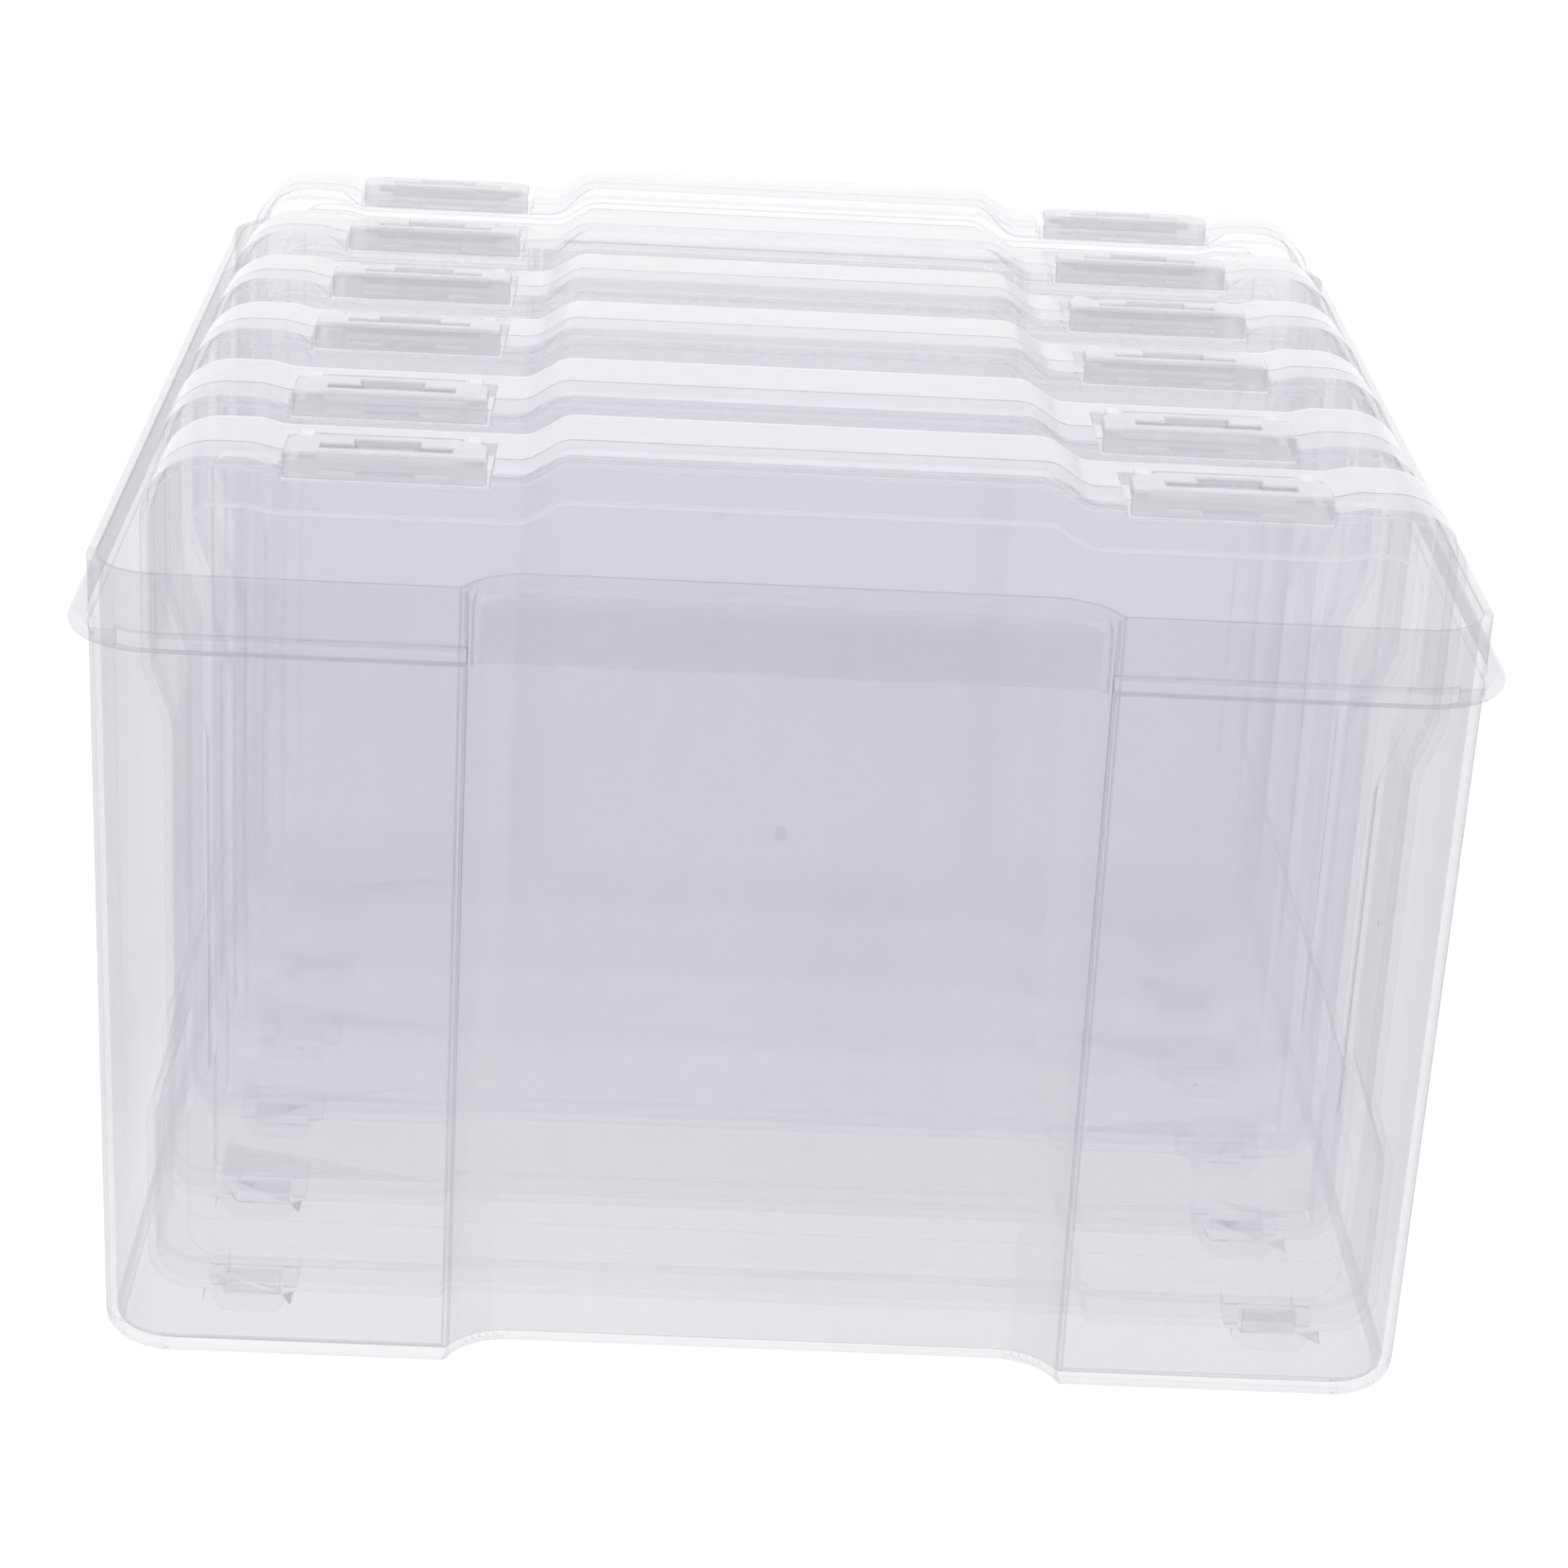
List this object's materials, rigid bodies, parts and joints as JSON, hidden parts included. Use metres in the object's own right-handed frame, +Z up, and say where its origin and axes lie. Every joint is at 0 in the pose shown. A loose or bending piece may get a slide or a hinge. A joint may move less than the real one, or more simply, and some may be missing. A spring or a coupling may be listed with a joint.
{
  "type": "photo and card storage box",
  "caption": "Open translucent plastic tub holding a row of removable hinged photo and card cases, each closed by two snap latches on its top edge.",
  "frame": {"origin": "middle of the tub's underside, on the surface it stands on", "axes": "+Z up, -Y towards the front of the tub, +X to the right seen from the front"},
  "size_m": [0.2074, 0.2064, 0.1439],
  "materials": {
    "tub_plastic": "clear moulded polypropylene, lightly hazed",
    "case_plastic": "translucent moulded polypropylene, fine satin faces",
    "latch_plastic": "translucent moulded polypropylene, polished"
  },
  "bodies": {
    "tub": {"outer_tub": "tub_plastic"},
    "case_1": {"case_1_tray": "case_plastic", "case_1_lid": "case_plastic"},
    "case_1_left_latch": {"case_1_latch_left": "latch_plastic"},
    "case_1_right_latch": {"case_1_latch_right": "latch_plastic"},
    "case_2": {"case_2_tray": "case_plastic", "case_2_lid": "case_plastic"},
    "case_2_left_latch": {"case_2_latch_left": "latch_plastic"},
    "case_2_right_latch": {"case_2_latch_right": "latch_plastic"},
    "case_3": {"case_3_tray": "case_plastic", "case_3_lid": "case_plastic"},
    "case_3_left_latch": {"case_3_latch_left": "latch_plastic"},
    "case_3_right_latch": {"case_3_latch_right": "latch_plastic"},
    "case_4": {"case_4_tray": "case_plastic", "case_4_lid": "case_plastic"},
    "case_4_left_latch": {"case_4_latch_left": "latch_plastic"},
    "case_4_right_latch": {"case_4_latch_right": "latch_plastic"},
    "case_5": {"case_5_tray": "case_plastic", "case_5_lid": "case_plastic"},
    "case_5_left_latch": {"case_5_latch_left": "latch_plastic"},
    "case_5_right_latch": {"case_5_latch_right": "latch_plastic"},
    "case_6": {"case_6_tray": "case_plastic", "case_6_lid": "case_plastic"},
    "case_6_left_latch": {"case_6_latch_left": "latch_plastic"},
    "case_6_right_latch": {"case_6_latch_right": "latch_plastic"}
  },
  "joints": [
    {"name": "case_1_lift", "type": "slide", "parent": "tub", "child": "case_1", "axis": [0, 0, 1], "range_m": [0, 0.14]},
    {"name": "case_1_left_latch_hinge", "type": "hinge", "parent": "case_1", "child": "case_1_left_latch", "pos_m": [-0.05875, -0.078, 0.1401], "axis": [-1, 0, 0], "range_deg": [0, 95]},
    {"name": "case_1_right_latch_hinge", "type": "hinge", "parent": "case_1", "child": "case_1_right_latch", "pos_m": [0.06195, -0.078, 0.1401], "axis": [-1, 0, 0], "range_deg": [0, 95]},
    {"name": "case_2_lift", "type": "slide", "parent": "tub", "child": "case_2", "axis": [0, 0, 1], "range_m": [0, 0.14]},
    {"name": "case_2_left_latch_hinge", "type": "hinge", "parent": "case_2", "child": "case_2_left_latch", "pos_m": [-0.06035, -0.0489, 0.1401], "axis": [-1, 0, 0], "range_deg": [0, 95]},
    {"name": "case_2_right_latch_hinge", "type": "hinge", "parent": "case_2", "child": "case_2_right_latch", "pos_m": [0.06035, -0.0489, 0.1401], "axis": [-1, 0, 0], "range_deg": [0, 95]},
    {"name": "case_3_lift", "type": "slide", "parent": "tub", "child": "case_3", "axis": [0, 0.0541, 0.9985], "range_m": [0, 0.14]},
    {"name": "case_3_left_latch_hinge", "type": "hinge", "parent": "case_3", "child": "case_3_left_latch", "pos_m": [-0.06035, -0.01475, 0.14004], "axis": [-1, 0, 0], "range_deg": [0, 95]},
    {"name": "case_3_right_latch_hinge", "type": "hinge", "parent": "case_3", "child": "case_3_right_latch", "pos_m": [0.06035, -0.01475, 0.14004], "axis": [-1, 0, 0], "range_deg": [0, 95]},
    {"name": "case_4_lift", "type": "slide", "parent": "tub", "child": "case_4", "axis": [0, 0.0593, 0.9982], "range_m": [0, 0.14]},
    {"name": "case_4_left_latch_hinge", "type": "hinge", "parent": "case_4", "child": "case_4_left_latch", "pos_m": [-0.06035, 0.01485, 0.14001], "axis": [-1, 0, 0], "range_deg": [0, 95]},
    {"name": "case_4_right_latch_hinge", "type": "hinge", "parent": "case_4", "child": "case_4_right_latch", "pos_m": [0.06035, 0.01485, 0.14001], "axis": [-1, 0, 0], "range_deg": [0, 95]},
    {"name": "case_5_lift", "type": "slide", "parent": "tub", "child": "case_5", "axis": [0, 0.0645, 0.9979], "range_m": [0, 0.14]},
    {"name": "case_5_left_latch_hinge", "type": "hinge", "parent": "case_5", "child": "case_5_left_latch", "pos_m": [-0.06035, 0.04445, 0.13998], "axis": [-1, 0, 0], "range_deg": [0, 95]},
    {"name": "case_5_right_latch_hinge", "type": "hinge", "parent": "case_5", "child": "case_5_right_latch", "pos_m": [0.06035, 0.04445, 0.13998], "axis": [-1, 0, 0], "range_deg": [0, 95]},
    {"name": "case_6_lift", "type": "slide", "parent": "tub", "child": "case_6", "axis": [0, 0.0698, 0.9976], "range_m": [0, 0.14]},
    {"name": "case_6_left_latch_hinge", "type": "hinge", "parent": "case_6", "child": "case_6_left_latch", "pos_m": [-0.06035, 0.07405, 0.13995], "axis": [-1, 0, 0], "range_deg": [0, 95]},
    {"name": "case_6_right_latch_hinge", "type": "hinge", "parent": "case_6", "child": "case_6_right_latch", "pos_m": [0.06035, 0.07405, 0.13995], "axis": [-1, 0, 0], "range_deg": [0, 95]}
  ]
}
